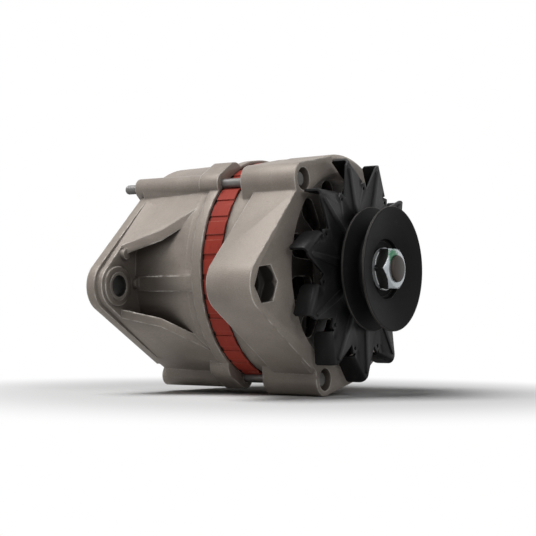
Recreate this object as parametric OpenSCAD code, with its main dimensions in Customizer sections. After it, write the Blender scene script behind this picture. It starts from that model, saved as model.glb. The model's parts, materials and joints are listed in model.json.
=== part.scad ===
// Claw-pole alternator with a V-belt pulley, an open fan and two cast brackets.
// The shaft lies along X with the pulley towards +X, and +Z is up.
// The origin is on the shaft axis, in the middle of the belt groove.

/* [Pulley and nut] */
// Diameter over the pulley flanges
pulley_d = 76; // [73:0.5:80]
// Width over the pulley flanges
pulley_w = 15.6; // [14.4:0.1:16.5]
// Width of the belt groove at the rim
groove_w = 12.8; // [10:0.1:13]
// Depth of the belt groove
groove_depth = 13; // [9:0.1:13.5]
// Angle between the two walls of the groove
groove_angle = 36; // [32:1:40]
// Diameter of the recess round the nut
recess_d = 34.4; // [32:0.1:37]
// Depth of the recess round the nut
recess_depth = 8.4; // [7.5:0.1:9.4]
// Diameter of the pulley hub behind the groove
hub_d = 28; // [25:0.5:34]
// Length of the hub behind the rear flange
hub_reach = 4.6; // [4:0.1:9]
// Width of the nut across its flats
nut_af = 24; // [22:0.5:26]
// Height of the nut
nut_h = 8.6; // [7:0.1:11]
// Outside diameter of the spring washer
washer_d = 25.6; // [22:0.1:28]
// Thickness of the spring washer
washer_t = 1.6; // [1:0.1:3]

/* [Shaft] */
// Diameter of the shaft through pulley, fan and front bearing
shaft_d = 17; // [15:0.5:18]
// Diameter of the thread at the front end
thread_d = 16; // [12:0.5:16.6]
// Length of thread that stands out of the nut
thread_proud = 2.1; // [0.2:0.1:4]
// Diameter of the shoulder behind the front bearing
shoulder_d = 23; // [20:0.5:25]
// Diameter of the seat of the claw poles
pole_seat_d = 19; // [18:0.5:20]
// Diameter of the seat of the slip rings
ring_seat_d = 16.6; // [15.4:0.1:17.4]
// Diameter of the shaft in the rear bearing
rear_shaft_d = 15; // [12:0.5:15]
// Width of the key
key_w = 4; // [3:0.5:5]

/* [Fan] */
// Diameter over the fan blades
fan_d = 139; // [130:0.5:141]
// Thickness of the fan sheet
fan_t = 1.6; // [1:0.1:2.2]
// Number of blades
blade_count = 11; // [8:1:12]
// Depth of the bent blades, front face to rear edge
blade_depth = 12.6; // [9:0.1:14]
// Radius at the bottom of the notches between the petals
notch_r = 48.5; // [44:0.5:53]
// Angle of the first notch
notch_angle = 87.5; // [80:0.5:95]
// Angle from each notch to the outer end of its blade
tip_lean = 13.8; // [10:0.1:16]
// Radius of the bend between petal and blade
bend_r = 3.6; // [2.8:0.1:5]
// Gap between the blades and the front bracket
fan_gap = 2.8; // [2:0.1:5]

/* [Front bracket] */
// Diameter of the front drum
front_drum_d = 143.2; // [143:0.1:147]
// Length of the bolt lobes on the front bracket
front_lobe_len = 38.6; // [36:0.1:42]
// Diameter of the narrower rim in front of the stator
front_rim_d = 136.4; // [135:0.1:138]
// Length of the front bracket
front_len = 44.2; // [42:0.1:50]
// Thickness of the cast walls
cast_wall = 4.4; // [3.6:0.1:5]
// Number of air windows in the front wall
front_windows = 12; // [9:1:12]

/* [Rear bracket] */
// Diameter of the rim that holds the stator
rear_rim_d = 143; // [142.6:0.1:145]
// Diameter of the rear drum next to its rim
rear_drum_d = 140.6; // [139.6:0.1:142]
// Narrowing of the rear drum over its length
rear_draft = 2.6; // [0:0.1:4]
// Length of the rear bracket
rear_len = 61.7; // [60:0.1:70]

/* [Stator] */
// Outside diameter of the lamination stack
stack_d = 139.2; // [138.8:0.1:139.6]
// Length of the lamination stack
stack_len = 25; // [22:0.5:28]
// Length of stack that shows between the brackets
stack_shown = 13.3; // [11:0.1:15]
// Number of slots
slot_count = 36; // [36:12:36]
// Radial reach of the slots outside the bore
slot_depth = 9.6; // [9:0.1:10.2]
// Width of one slot
slot_w = 3.8; // [3.4:0.1:4.2]
// Length of the winding heads
head_len = 13; // [11:0.5:13.5]

/* [Through bolts] */
// Radius of the circle of the through bolts
bolt_circle_r = 70.6; // [70.2:0.1:71.4]
// Diameter of the through bolts
bolt_d = 6; // [5:0.5:6.5]
// Angle of the first through bolt
bolt_angle = 12.3; // [10:0.1:14]
// Diameter of the bolt heads
bolt_head_d = 9; // [8.5:0.1:11]
// Diameter of the counterbores for the heads
counterbore_d = 13.6; // [12:0.1:14.4]
// Length by which the upper bolt stands out of its rear lobe
bolt_tail = 11.4; // [4:0.1:16]

/* [Pivot ears] */
// Distance of the pivot axis from the shaft axis
pivot_r = 87.8; // [87:0.1:92]
// Angle of the pivot axis
pivot_angle = 187.4; // [184:0.1:191]
// Diameter of the ear bosses
boss_d = 32.6; // [31:0.1:35]
// Diameter of the pivot bolt hole
pivot_bore_d = 13; // [10:0.1:13.4]
// Width across the flats of the pocket for the bolt head
pocket_af = 20.7; // [19:0.1:22]
// Depth of the pocket for the bolt head
pocket_depth = 9; // [6:0.1:12]
// Thickness of the front ear
front_ear_t = 30.2; // [28:0.1:32]
// Thickness of the plate of the rear ear
rear_ear_t = 10; // [8:0.1:12]
// Thickness of the gusset walls
gusset_t = 4.6; // [4:0.1:5.4]
// Outside diameter of the sliding sleeve in the rear ear
sleeve_d = 17; // [16.5:0.1:19]
// Length of the sliding sleeve
sleeve_len = 13; // [11:0.1:14]

/* [Adjusting lug] */
// Distance of the adjusting hole from the shaft axis
lug_r = 84; // [83:0.1:88]
// Angle of the adjusting hole
lug_angle = 354; // [352:0.5:357]
// Diameter of the lug round the adjusting hole
lug_d = 20; // [18:0.5:22]
// Thickness of the lug
lug_t = 12.2; // [10:0.1:16]
// Tapping diameter of the adjusting hole
lug_hole_d = 6.8; // [6:0.1:8.5]

/* [Bearings] */
// Outside diameter of the front bearing
front_bearing_d = 47; // [45:0.5:48]
// Width of the front bearing
front_bearing_w = 14; // [13:0.5:15]
// Outside diameter of the rear bearing
rear_bearing_d = 35; // [33:0.5:36]
// Width of the rear bearing
rear_bearing_w = 11; // [10:0.5:12]
// Number of balls in each bearing
ball_count = 8; // [7:1:8]

/* [Rotor] */
// Diameter over the claw poles
rotor_d = 102.8; // [101:0.1:103.2]
// Gap between the claw poles and the stator
air_gap = 0.5; // [0.4:0.05:0.8]
// Length over the claw poles
pole_len = 44; // [42:0.5:46]
// Number of claws on each pole
claw_count = 6; // [6:1:6]
// Thickness of each pole's disc
disc_t = 12; // [10:0.5:13]
// Diameter of the core inside the field coil
core_d = 42; // [38:0.5:46]
// Outside diameter of the field coil
coil_d = 78; // [74:0.5:79]

/* [Slip rings and brushes] */
// Diameter of the slip rings
slip_ring_d = 28; // [26:0.5:30]
// Width of each slip ring
slip_ring_w = 7; // [6.4:0.1:7.4]
// Distance between the middles of the two rings
ring_pitch = 10; // [9.4:0.1:10.4]
// Width of each brush along the shaft
brush_w = 5; // [4.4:0.1:5.6]
// Thickness of each brush across the shaft
brush_t = 6; // [5:0.1:6.4]
// Length of each brush
brush_len = 16; // [13:0.5:18]

/* [Rectifier] */
// Radius of the circle of the diodes
diode_circle_r = 46; // [45:0.1:47]
// Diameter of each diode
diode_d = 12.8; // [11:0.1:13]
// Thickness of the heat sinks
sink_t = 3; // [2:0.1:4]
// Diameter of the output stud
stud_d = 6; // [5:0.5:6.5]
// Length of the output stud outside the end wall
stud_len = 22; // [18:0.5:28]
// Diameter of the stud's free end, outside its nut
stud_end_d = 5; // [4:0.1:5.4]

/* [Clearances] */
// Radial clearance of pieces that are pressed or seated
seat_gap = 0.03; // [0.02:0.01:0.05]
// Radial clearance of pieces that slide in each other
slide_gap = 0.05; // [0.03:0.01:0.08]
// Radial clearance of the bolts in their holes
bolt_gap = 0.25; // [0.15:0.05:0.4]
// Clearance between turning and standing pieces
run_gap = 0.8; // [0.5:0.1:1]

/* [Hidden] */
$fn = 96;

// Colours
cast_grey = "#9c9790";
dark_steel = "#3a3a3c";
bright_steel = "#c2c6ca";
red_varnish = "#a83a2c";
copper = "#b06a3c";
plastic = "#2c2a28";

// Places along the shaft, from the pulley to the rear end
flange_x = pulley_w / 2;
seat_x = flange_x - recess_depth;
nut_x = seat_x + washer_t;
shaft_front_x = nut_x + nut_h + thread_proud;
fan_x = -flange_x - hub_reach;
front_x = fan_x - blade_depth - fan_gap;
lip_t = 3.2;
bearing_x = front_x - lip_t;
retainer_x = bearing_x - front_bearing_w;
retainer_t = 2.5;
front_end_x = front_x - front_len;
rear_start_x = front_end_x - stack_shown;
stack_rear_x = front_end_x - stack_len;
rear_x = rear_start_x - rear_len;
end_wall_t = 4;
end_wall_x = rear_x + end_wall_t;
stack_mid_x = (front_end_x + stack_rear_x) / 2;
pole_front_x = stack_mid_x + pole_len / 2;
pole_rear_x = stack_mid_x - pole_len / 2;
rear_cap_t = 2;
rear_bearing_x = rear_x + rear_cap_t + rear_bearing_w;
ring_mid_x = pole_rear_x - 12.5;
front_ring_x = ring_mid_x + ring_pitch / 2;
rear_ring_x = ring_mid_x - ring_pitch / 2;

// Radii
flange_r = pulley_d / 2;
shaft_r = shaft_d / 2;
collar_r = shaft_r + 4;
fan_r = fan_d / 2;
front_drum_r = front_drum_d / 2;
rear_drum_r = rear_drum_d / 2;
stack_r = stack_d / 2;
rotor_r = rotor_d / 2;
bore_r = rotor_r + air_gap;
slot_in_r = bore_r + 2.2;
slot_out_r = bore_r + slot_depth;
front_cavity_r = slot_out_r + 1.8;
rear_cavity_r = rear_drum_r - rear_draft / 2 - cast_wall;
boss_r = boss_d / 2;
bolt_angles = [bolt_angle, bolt_angle + 120, bolt_angle + 240];
lobe_r = 10;
rear_lobe_r = 6.4;
rear_lobe_reach = 3.2;
counterbore_depth = 6;
bolt_seat_x = front_x - counterbore_depth;
bolt_head_h = 3.6;
lobe_rear_x = rear_x - rear_lobe_reach;
pivot = polar(pivot_r, pivot_angle);
lug = polar(lug_r, lug_angle);

// Points and shapes in the plane across the shaft, with Y to the right and Z up
function polar(r, a) = [r * cos(a), r * sin(a)];

// Two circles joined by their outer tangents, whose ends lie just inside the circles
tuck = 0.998;

module tapered_bar(p1, r1, p2, r2, start_round = true) {
    d = p2 - p1;
    turn = atan2(d.y, d.x);
    spread = acos((r1 - r2) / norm(d));
    if (start_round) translate(p1) circle(r1);
    translate(p2) circle(r2);
    polygon([
        p1 + polar(r1 * tuck, turn + spread),
        p1 + polar(r1 * tuck, turn - spread),
        p2 + polar(r2 * tuck, turn - spread),
        p2 + polar(r2 * tuck, turn + spread)
    ]);
}

// Places the Y-Z plane drawing at a station, to be extruded towards +X
module station(x) {
    translate([x, 0, 0]) rotate([90, 0, 90]) children();
}

module slab(x_from, x_to) {
    station(min(x_from, x_to)) linear_extrude(abs(x_to - x_from)) children();
}

module tube(x_from, x_to, outer, inner) {
    slab(x_from, x_to) difference() {
        circle(outer);
        circle(inner);
    }
}

module rod(x_from, x_to, r) {
    slab(x_from, x_to) circle(r);
}

// Turns an outline of radius and place along the shaft
module turned(points) {
    station(0) rotate_extrude() polygon(points);
}

module sector(r, a_from, a_to) {
    steps = 12;
    polygon(concat([[0, 0]], [
        for (i = [0:steps]) polar(r, a_from + (a_to - a_from) * i / steps)
    ]));
}

// Front bracket: drum, wall with windows, bearing hub, bolt lobes, pivot ear and adjusting lug
front_wall_t = 5;
front_recess = 4.4;
front_wall_x = front_x - front_recess - front_wall_t;
front_hub_r = front_bearing_d / 2 + 4.5;
retainer_hole_r = front_bearing_d / 2 + 6.5;
retainer_angles = [30, 150, 270];
ear_rear_x = front_x - front_ear_t;

module front_bracket() {
    color(cast_grey) difference() {
        union() {
            turned([
                [0, front_x], [front_drum_r - 2.2, front_x], [front_drum_r, front_x - 2.4],
                [front_drum_r - 0.4, ear_rear_x], [front_rim_d / 2, ear_rear_x - 2],
                [front_rim_d / 2 - 0.4, front_end_x], [0, front_end_x]
            ]);
            slab(front_x, front_x - front_lobe_len) {
                for (a = bolt_angles)
                    tapered_bar(polar(bolt_circle_r - 22, a), 19, polar(bolt_circle_r, a), lobe_r);
                lobe_flank(bolt_angles[1], -1);
                lobe_flank(bolt_angles[2], 1);
            }
            slab(front_x, ear_rear_x)
                tapered_bar([0, 0], front_drum_r - 0.6, pivot, boss_r, start_round = false);
            slab(front_x, front_x - lug_t)
                tapered_bar(polar(lug_r - 30, lug_angle), 22, lug, lug_d / 2);
        }
        front_cavity();
        front_holes();
    }
}

// Straight flank from a lobe to the drum, on the side away from the pivot ear
module lobe_flank(a, side) {
    root_r = front_drum_r - 0.6;
    turn = a + side * acos((root_r - lobe_r) / bolt_circle_r);
    polygon([
        [0, 0], polar(root_r * tuck, turn),
        polar(bolt_circle_r, a) + polar(lobe_r * tuck, turn), polar(bolt_circle_r, a)
    ]);
}

module front_cavity() {
    difference() {
        turned([
            [0, front_wall_x], [front_cavity_r - 6, front_wall_x],
            [front_cavity_r, front_wall_x - 5], [front_cavity_r, front_end_x - 1],
            [0, front_end_x - 1]
        ]);
        rod(front_wall_x + 1, retainer_x, front_hub_r);
        slab(front_wall_x + 1, retainer_x) for (a = retainer_angles)
            tapered_bar([0, 0], 8, polar(retainer_hole_r, a), 5);
    }
    // Shallow dish behind the fan, round the hub
    turned([
        [front_hub_r - 1, front_x + 1], [front_cavity_r - 1, front_x + 1],
        [front_cavity_r - 3, front_x], [front_cavity_r - 7, front_x - front_recess],
        [front_hub_r + 1, front_x - front_recess], [front_hub_r - 1, front_x]
    ]);
    // Pockets that lighten the ear from behind
    slab(ear_rear_x - 1, front_x - 11) difference() {
        tapered_bar([0, 0], front_drum_r - gusset_t - 0.6, pivot, boss_r - gusset_t);
        circle(front_drum_r - 0.8);
        translate(pivot) circle(boss_r - 2);
    }
}

module front_holes() {
    rod(front_x + 1, front_end_x, collar_r + run_gap);
    rod(bearing_x, retainer_x - 1, front_bearing_d / 2 + seat_gap);
    slab(front_wall_x - 1, front_x) for (i = [0:front_windows - 1])
        rotate(360 / front_windows * (i + 0.5))
            tapered_bar([front_hub_r + 8, 0], 4.2, [front_cavity_r - 14, 0], 7);
    for (a = bolt_angles) {
        slab(front_end_x - 1, front_x) translate(polar(bolt_circle_r, a))
            circle(bolt_d / 2 + bolt_gap);
        slab(bolt_seat_x, front_x + 1) translate(polar(bolt_circle_r, a))
            circle(counterbore_d / 2);
    }
    for (a = retainer_angles)
        slab(retainer_x - 1, retainer_x + 7) translate(polar(retainer_hole_r, a)) circle(2 + seat_gap);
    slab(ear_rear_x - 1, front_x) translate(pivot) circle(pivot_bore_d / 2);
    slab(front_x - pocket_depth, front_x + 1) translate(pivot) rotate(pivot_angle)
        circle(pocket_af / 2 / cos(30), $fn = 6);
    slab(front_x - lug_t - 1, front_x + 1) translate(lug) circle(lug_hole_d / 2);
}

// Rear bracket: rim, drafted drum, end wall with slots, bearing hub, lobes and gusseted ear
rear_hub_r = rear_bearing_d / 2 + 4;
window_angles = [0, 30, 120, 150, 180, 210, 240, 270, 300];
post_angles = [165, 225, 315, 15];
post_r = 4;
sink_x = rear_x + 18;
post_x = sink_x - 1.2;
output_angle = 330;
output_at = polar(diode_circle_r, output_angle);
bush_r = stud_d / 2 + 3;
rim_len = 6.5;
ear_plate_x = rear_x + rear_ear_t;
holder_low_z = slip_ring_d / 2 + 2.6;
holder_z = slip_ring_d / 2 + brush_len + 15;
holder_y = brush_t / 2 + 2.6;
neck_low_z = rear_hub_r + 5;
flange_screw_y = 15;
flange_z = (neck_low_z + holder_z) / 2;
block_angle = 58;
block_at = polar(rear_cavity_r - 16.6, block_angle);
ear_root_r = rear_drum_r - rear_draft / 2 - 0.2;
ear_wall_r = boss_r - 2.3;
ear_step = 4;

module rear_bracket() {
    color(cast_grey) difference() {
        union() {
            difference() {
                union() {
                    rear_shell();
                    rear_lobes();
                    rear_ear();
                    rear_band();
                }
                turned([
                    [0, rear_start_x + 1], [stack_r + seat_gap, rear_start_x + 1],
                    [stack_r + seat_gap, stack_rear_x], [rear_cavity_r, stack_rear_x],
                    [rear_cavity_r, end_wall_x + 5], [rear_cavity_r - 5, end_wall_x],
                    [0, end_wall_x]
                ]);
            }
            rod(rear_x, rear_bearing_x + 1.5, rear_hub_r);
            slab(rear_x + 1, post_x) for (a = post_angles)
                translate(polar(diode_circle_r, a)) circle(post_r);
            slab(rear_x, end_wall_x + 2) translate(output_at) circle(bush_r + 3.5);
            slab(rear_x, end_wall_x + 3) for (s = [-1, 1])
                translate([s * flange_screw_y, flange_z]) circle(4);
        }
        rear_holes();
    }
}

module rear_shell() {
    turned([
        [0, rear_start_x], [rear_rim_d / 2, rear_start_x],
        [rear_rim_d / 2, rear_start_x - rim_len],
        [rear_drum_r, rear_start_x - rim_len - 1.2],
        [rear_drum_r - rear_draft / 2, rear_x + 3],
        [rear_drum_r - rear_draft / 2 - 2.2, rear_x + 0.6],
        [rear_drum_r - rear_draft / 2 - 4, rear_x], [0, rear_x]
    ]);
}

module rear_lobes() {
    slab(rear_x + 3, rear_start_x) for (a = bolt_angles)
        tapered_bar(polar(bolt_circle_r - 18, a), 15, polar(bolt_circle_r, a), rear_lobe_r);
    for (a = bolt_angles) slab(a == bolt_angles[1] ? lobe_rear_x : rear_x, rear_x + 4)
        tapered_bar(polar(bolt_circle_r - 7, a), rear_lobe_r - 1, polar(bolt_circle_r, a), rear_lobe_r);
    // Raised hoods where the lobes meet the stator
    slab(rear_start_x - 14, rear_start_x) for (a = bolt_angles)
        tapered_bar(polar(bolt_circle_r - 2.6, a - 11), 8.8, polar(bolt_circle_r, a), rear_lobe_r + 0.8);
}

// Low band along the drum, in line with the ear
module rear_band() {
    band_end_x = rear_start_x - rim_len + 0.3;
    station(0) rotate(pivot_angle - 3.4) rotate_extrude(angle = 7.8) polygon([
        [rear_cavity_r + 1, ear_plate_x - 1], [rear_drum_r - rear_draft * 0.42 + 0.5, ear_plate_x - 1],
        [rear_drum_r + 0.5, band_end_x], [rear_cavity_r + 1, band_end_x]
    ]);
}

// The ear is a plate at the rear with two walls that run forward and fall away to the boss
module rear_ear() {
    step_x = ear_plate_x - ear_step;
    slab(rear_x, step_x) tapered_bar([0, 0], ear_root_r, pivot, boss_r, start_round = false);
    slab(step_x, ear_plate_x)
        tapered_bar([0, 0], ear_root_r, pivot, ear_wall_r, start_round = false);
    intersection() {
        slab(step_x, rear_start_x - 1) difference() {
            tapered_bar([0, 0], ear_root_r, pivot, ear_wall_r, start_round = false);
            tapered_bar([0, 0], ear_root_r - gusset_t, pivot, ear_wall_r - gusset_t);
        }
        union() {
            gusset_side(0, pivot.x * 0.59);
            gusset_side(-pivot_r, pivot.x * 0.48);
        }
    }
    // Ring round the sleeve, and half-round pads inside the walls and at the drum
    slab(ear_plate_x - 1, ear_plate_x + 1.6) translate(pivot) circle(sleeve_d / 2 + 3.6);
    spread = acos((ear_root_r - ear_wall_r) / pivot_r);
    pad_along = pivot_r - 8.4;
    pad_side = (ear_root_r - gusset_t - pad_along * cos(spread)) / sin(spread);
    slab(ear_plate_x - 1, ear_plate_x + 3) rotate(pivot_angle) {
        for (side = [-pad_side, pad_side]) translate([pad_along, side]) circle(3.2);
        translate([ear_root_r + 1.5, 0]) circle(3.2);
    }
}

// Side view of one gusset wall: high at the drum and low at the boss
module gusset_side(from_z, root_y) {
    translate([0, 0, from_z]) linear_extrude(pivot_r) polygon([
        [rear_x - 1, 0], [rear_start_x - 1, 0], [rear_start_x - 1, root_y],
        [rear_x + rear_len * 0.55, pivot.x * 0.84], [ear_plate_x, pivot.x * 0.94],
        [ear_plate_x - 1, pivot.x - boss_r - 1], [rear_x - 1, pivot.x - boss_r - 1]
    ]);
}

module rear_holes() {
    rod(rear_x + rear_cap_t, rear_bearing_x + 2.5, rear_bearing_d / 2 + seat_gap);
    slab(rear_x - 1, end_wall_x + 1) for (a = window_angles)
        rotate(a) tapered_bar([rear_hub_r + 9, 0], 3.4, [rear_cavity_r - 13, 0], 6.4);
    slab(lobe_rear_x - 1, rear_start_x + 1) for (a = bolt_angles)
        rotate(a) translate([bolt_circle_r, 0]) circle(bolt_d / 2 + seat_gap);
    slab(rear_x - 1, ear_plate_x + 4) translate(pivot) circle(sleeve_d / 2 + slide_gap);
    slab(end_wall_x - 1, post_x + 1) for (a = post_angles)
        translate(polar(diode_circle_r, a)) circle(1.5 + seat_gap);
    slab(rear_x - 1, end_wall_x + 3) translate(output_at) circle(bush_r + seat_gap);
    translate([rear_x - 1, -holder_y - 0.4, neck_low_z - 0.4])
        cube([end_wall_t + 7, 2 * holder_y + 0.8, holder_z - neck_low_z + 0.8]);
    slab(rear_x - 1, end_wall_x + 2) for (s = [-1, 1])
        translate([s * flange_screw_y, flange_z]) circle(1.5 + seat_gap);
    slab(rear_x - 1, end_wall_x + 1) for (s = [-1, 1])
        terminal_place(s) circle(terminal_pin_r + seat_gap);
}

// Through bolts with round heads in the front counterbores; the upper one stands out at the rear
module through_bolts() {
    edge = 0.7;
    color(bright_steel) for (a = bolt_angles) {
        slab(a == bolt_angles[1] ? lobe_rear_x - bolt_tail : rear_x + 0.5, bolt_seat_x + 0.5)
            translate(polar(bolt_circle_r, a)) circle(bolt_d / 2);
        slab(bolt_seat_x, bolt_seat_x + bolt_head_h - edge) translate(polar(bolt_circle_r, a))
            circle(bolt_head_d / 2);
        station(bolt_seat_x + bolt_head_h - edge) translate(polar(bolt_circle_r, a))
            cylinder(h = edge, r1 = bolt_head_d / 2, r2 = bolt_head_d / 2 - edge);
    }
}

// Stator: slotted laminations, and one wave winding for each phase in its own layer
module stator_core() {
    pitch = 360 / slot_count;
    color(red_varnish) slab(stack_rear_x, front_end_x) difference() {
        circle(stack_r);
        circle(bore_r);
        for (i = [0:slot_count - 1]) rotate(i * pitch) {
            translate([slot_in_r, -slot_w / 2]) square([slot_out_r - slot_in_r, slot_w]);
            translate([bore_r - 1, -0.9]) square([slot_in_r - bore_r + 1.5, 1.8]);
            rotate(pitch / 2) translate([stack_r - 0.7, -1.8]) square([2, 3.6]);
        }
        for (a = bolt_angles) translate(polar(bolt_circle_r, a)) circle(bolt_d / 2 + bolt_gap);
    }
}

layer_t = (slot_out_r - slot_in_r - 1.2) / 3;
wire_w = slot_w - 0.7;

module winding(phase) {
    pitch = 360 / slot_count;
    coils = slot_count / 3;
    layer_r = slot_in_r + 0.2 + phase * (layer_t + 0.3);
    color(copper) {
        for (i = [0:coils - 1]) {
            a = (3 * i + phase) * pitch;
            front = i % 2 == 0;
            slab(stack_rear_x - 1, front_end_x + 1) rotate(a)
                translate([slot_in_r + 0.2, -wire_w / 2])
                    square([slot_out_r - slot_in_r - 0.4, wire_w]);
            slab(stack_rear_x - head_len + 1, front_end_x + head_len - 1) rotate(a)
                translate([layer_r, -wire_w / 2]) square([layer_t, wire_w]);
            station(front ? front_end_x + head_len - 4 : stack_rear_x - head_len)
                rotate([0, 0, a]) rotate_extrude(angle = 3 * pitch)
                    translate([layer_r, 0]) square([layer_t, 4]);
        }
    }
}

module winding_u() { winding(0); }
module winding_v() { winding(1); }
module winding_w() { winding(2); }

// Ball bearings: both races, the balls and the cage are worked out from the boundary sizes
front_ball_r = (front_bearing_d - shaft_d) * 0.135;
rear_ball_r = (rear_bearing_d - rear_shaft_d) * 0.148;
front_pitch_r = (front_bearing_d + shaft_d) / 4;
rear_pitch_r = (rear_bearing_d + rear_shaft_d) / 4;

module outer_race(x_rear, width, outer, pitch_r, ball_r) {
    color(bright_steel) station(x_rear) rotate_extrude() difference() {
        translate([pitch_r + ball_r * 0.45, 0]) square([outer - pitch_r - ball_r * 0.45, width]);
        translate([pitch_r, width / 2]) circle(ball_r + slide_gap);
    }
}

module inner_race(x_rear, width, bore, pitch_r, ball_r) {
    color(bright_steel) station(x_rear) rotate_extrude() difference() {
        translate([bore, 0]) square([pitch_r - ball_r * 0.45 - bore, width]);
        translate([pitch_r, width / 2]) circle(ball_r + slide_gap);
    }
}

module ball_set(x_mid, pitch_r, ball_r) {
    color(bright_steel) station(x_mid) for (i = [0:ball_count - 1])
        rotate(i * 360 / ball_count) translate([pitch_r, 0, 0]) sphere(ball_r, $fn = 32);
}

module ball_cage(x_mid, pitch_r, ball_r) {
    color(copper) station(x_mid) difference() {
        rotate_extrude() translate([pitch_r - ball_r * 0.28, -ball_r - 0.7])
            square([ball_r * 0.56, 2 * ball_r + 1.4]);
        for (i = [0:ball_count - 1]) rotate(i * 360 / ball_count)
            translate([pitch_r, 0, 0]) rotate([0, 90, 0])
                cylinder(h = ball_r, r = ball_r + slide_gap, center = true);
    }
}

module front_bearing_outer_race() {
    outer_race(retainer_x, front_bearing_w, front_bearing_d / 2, front_pitch_r, front_ball_r);
}

module front_bearing_inner_race() {
    inner_race(retainer_x, front_bearing_w, shaft_r + seat_gap, front_pitch_r, front_ball_r);
}

module front_bearing_balls() {
    ball_set(retainer_x + front_bearing_w / 2, front_pitch_r, front_ball_r);
}

module front_bearing_cage() {
    ball_cage(retainer_x + front_bearing_w / 2, front_pitch_r, front_ball_r);
}

module rear_bearing_outer_race() {
    outer_race(rear_bearing_x - rear_bearing_w, rear_bearing_w, rear_bearing_d / 2, rear_pitch_r,
        rear_ball_r);
}

module rear_bearing_inner_race() {
    inner_race(rear_bearing_x - rear_bearing_w, rear_bearing_w, rear_shaft_d / 2 + seat_gap,
        rear_pitch_r, rear_ball_r);
}

module rear_bearing_balls() {
    ball_set(rear_bearing_x - rear_bearing_w / 2, rear_pitch_r, rear_ball_r);
}

module rear_bearing_cage() {
    ball_cage(rear_bearing_x - rear_bearing_w / 2, rear_pitch_r, rear_ball_r);
}

module bearing_retainer() {
    color(bright_steel) slab(retainer_x - retainer_t, retainer_x) difference() {
        union() {
            circle(front_hub_r - 1);
            for (a = retainer_angles) tapered_bar([0, 0], 8, polar(retainer_hole_r, a), 5);
        }
        circle(front_bearing_d / 2 - 3.5);
        for (a = retainer_angles) translate(polar(retainer_hole_r, a)) circle(2 + bolt_gap);
    }
}

module retainer_screws() {
    color(bright_steel) for (a = retainer_angles) {
        slab(retainer_x - retainer_t - 0.5, retainer_x + 6) translate(polar(retainer_hole_r, a))
            circle(2);
        slab(retainer_x - retainer_t - 2.4, retainer_x - retainer_t)
            translate(polar(retainer_hole_r, a)) circle(3.5);
    }
}

// Rectifier: two crescent heat sinks on posts, each with three pressed-in diodes
sink_outer_r = rear_cavity_r - 5;
sink_inner_r = diode_circle_r - 11;
diode_angles = [145, 195, 250];
positive_diode_angles = [290, 352, 38];

module heat_sink(a_from, a_to, posts, diodes) {
    slab(sink_x, sink_x + sink_t) difference() {
        intersection() {
            circle(sink_outer_r);
            sector(2 * sink_outer_r, a_from, a_to);
        }
        circle(sink_inner_r);
        for (a = posts) translate(polar(diode_circle_r, a)) circle(1.5 + bolt_gap);
        for (a = diodes) translate(polar(diode_circle_r, a)) circle(diode_d / 2 + seat_gap);
    }
}

module negative_heat_sink() {
    color("#b9bcc0") heat_sink(133, 262, [165, 225], diode_angles);
}

module positive_heat_sink() {
    color("#b9bcc0") difference() {
        heat_sink(278, 407, [315, 375], positive_diode_angles);
        slab(sink_x - 1, sink_x + sink_t + 1) translate(output_at) circle(stud_d / 2 + seat_gap);
    }
}

module diodes(angles) {
    color(bright_steel) for (a = angles) {
        slab(sink_x - 1.5, sink_x + 6) translate(polar(diode_circle_r, a)) circle(diode_d / 2);
        slab(sink_x + 5, sink_x + 8.5) translate(polar(diode_circle_r, a)) circle(2.2);
    }
}

module negative_diodes() { diodes(diode_angles); }
module positive_diodes() { diodes(positive_diode_angles); }

module heat_sink_insulators() {
    color("#8a5a34") slab(post_x, sink_x) for (a = post_angles)
        translate(polar(diode_circle_r, a)) difference() {
            circle(post_r);
            circle(1.5 + bolt_gap);
        }
}

module heat_sink_screws() {
    color(bright_steel) for (a = post_angles) {
        slab(post_x - 7, sink_x + sink_t + 0.5) translate(polar(diode_circle_r, a)) circle(1.5);
        slab(sink_x + sink_t, sink_x + sink_t + 2.2) translate(polar(diode_circle_r, a)) circle(2.8);
    }
}

// Output stud, clamped to the positive heat sink and led out through an insulating bush
bush_head_t = 3;
output_nut_h = 5;
stud_step_x = rear_x - bush_head_t - 1 - output_nut_h - 0.5;

module output_stud() {
    color(bright_steel) {
        slab(stud_step_x, sink_x + sink_t + 0.5) translate(output_at) circle(stud_d / 2);
        slab(rear_x - stud_len, stud_step_x) translate(output_at) circle(stud_end_d / 2);
        slab(sink_x + sink_t, sink_x + sink_t + 2.6) translate(output_at)
            circle(stud_d * 0.95, $fn = 6);
    }
}

module output_insulator() {
    color(plastic) difference() {
        union() {
            slab(rear_x - bush_head_t, sink_x) translate(output_at) circle(bush_r);
            slab(rear_x - bush_head_t, rear_x) translate(output_at) circle(bush_r + 2.6);
        }
        slab(rear_x - bush_head_t - 1, sink_x + 1) translate(output_at)
            circle(stud_d / 2 + seat_gap);
    }
}

module output_nut() {
    nut_front_x = rear_x - bush_head_t;
    color(bright_steel) difference() {
        union() {
            slab(nut_front_x - 1, nut_front_x) translate(output_at) circle(stud_d * 1.05);
            slab(nut_front_x - 1 - output_nut_h, nut_front_x - 0.5) translate(output_at)
                circle(stud_d * 0.95, $fn = 6);
        }
        slab(nut_front_x - 2 - output_nut_h, nut_front_x + 1) translate(output_at)
            circle(stud_d / 2 + seat_gap);
    }
}

// Brush holder: chambers over the slip rings, a neck through the end wall and a screwed flange
flange_t = 3;
chamber_floor_z = holder_z - 3;

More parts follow.
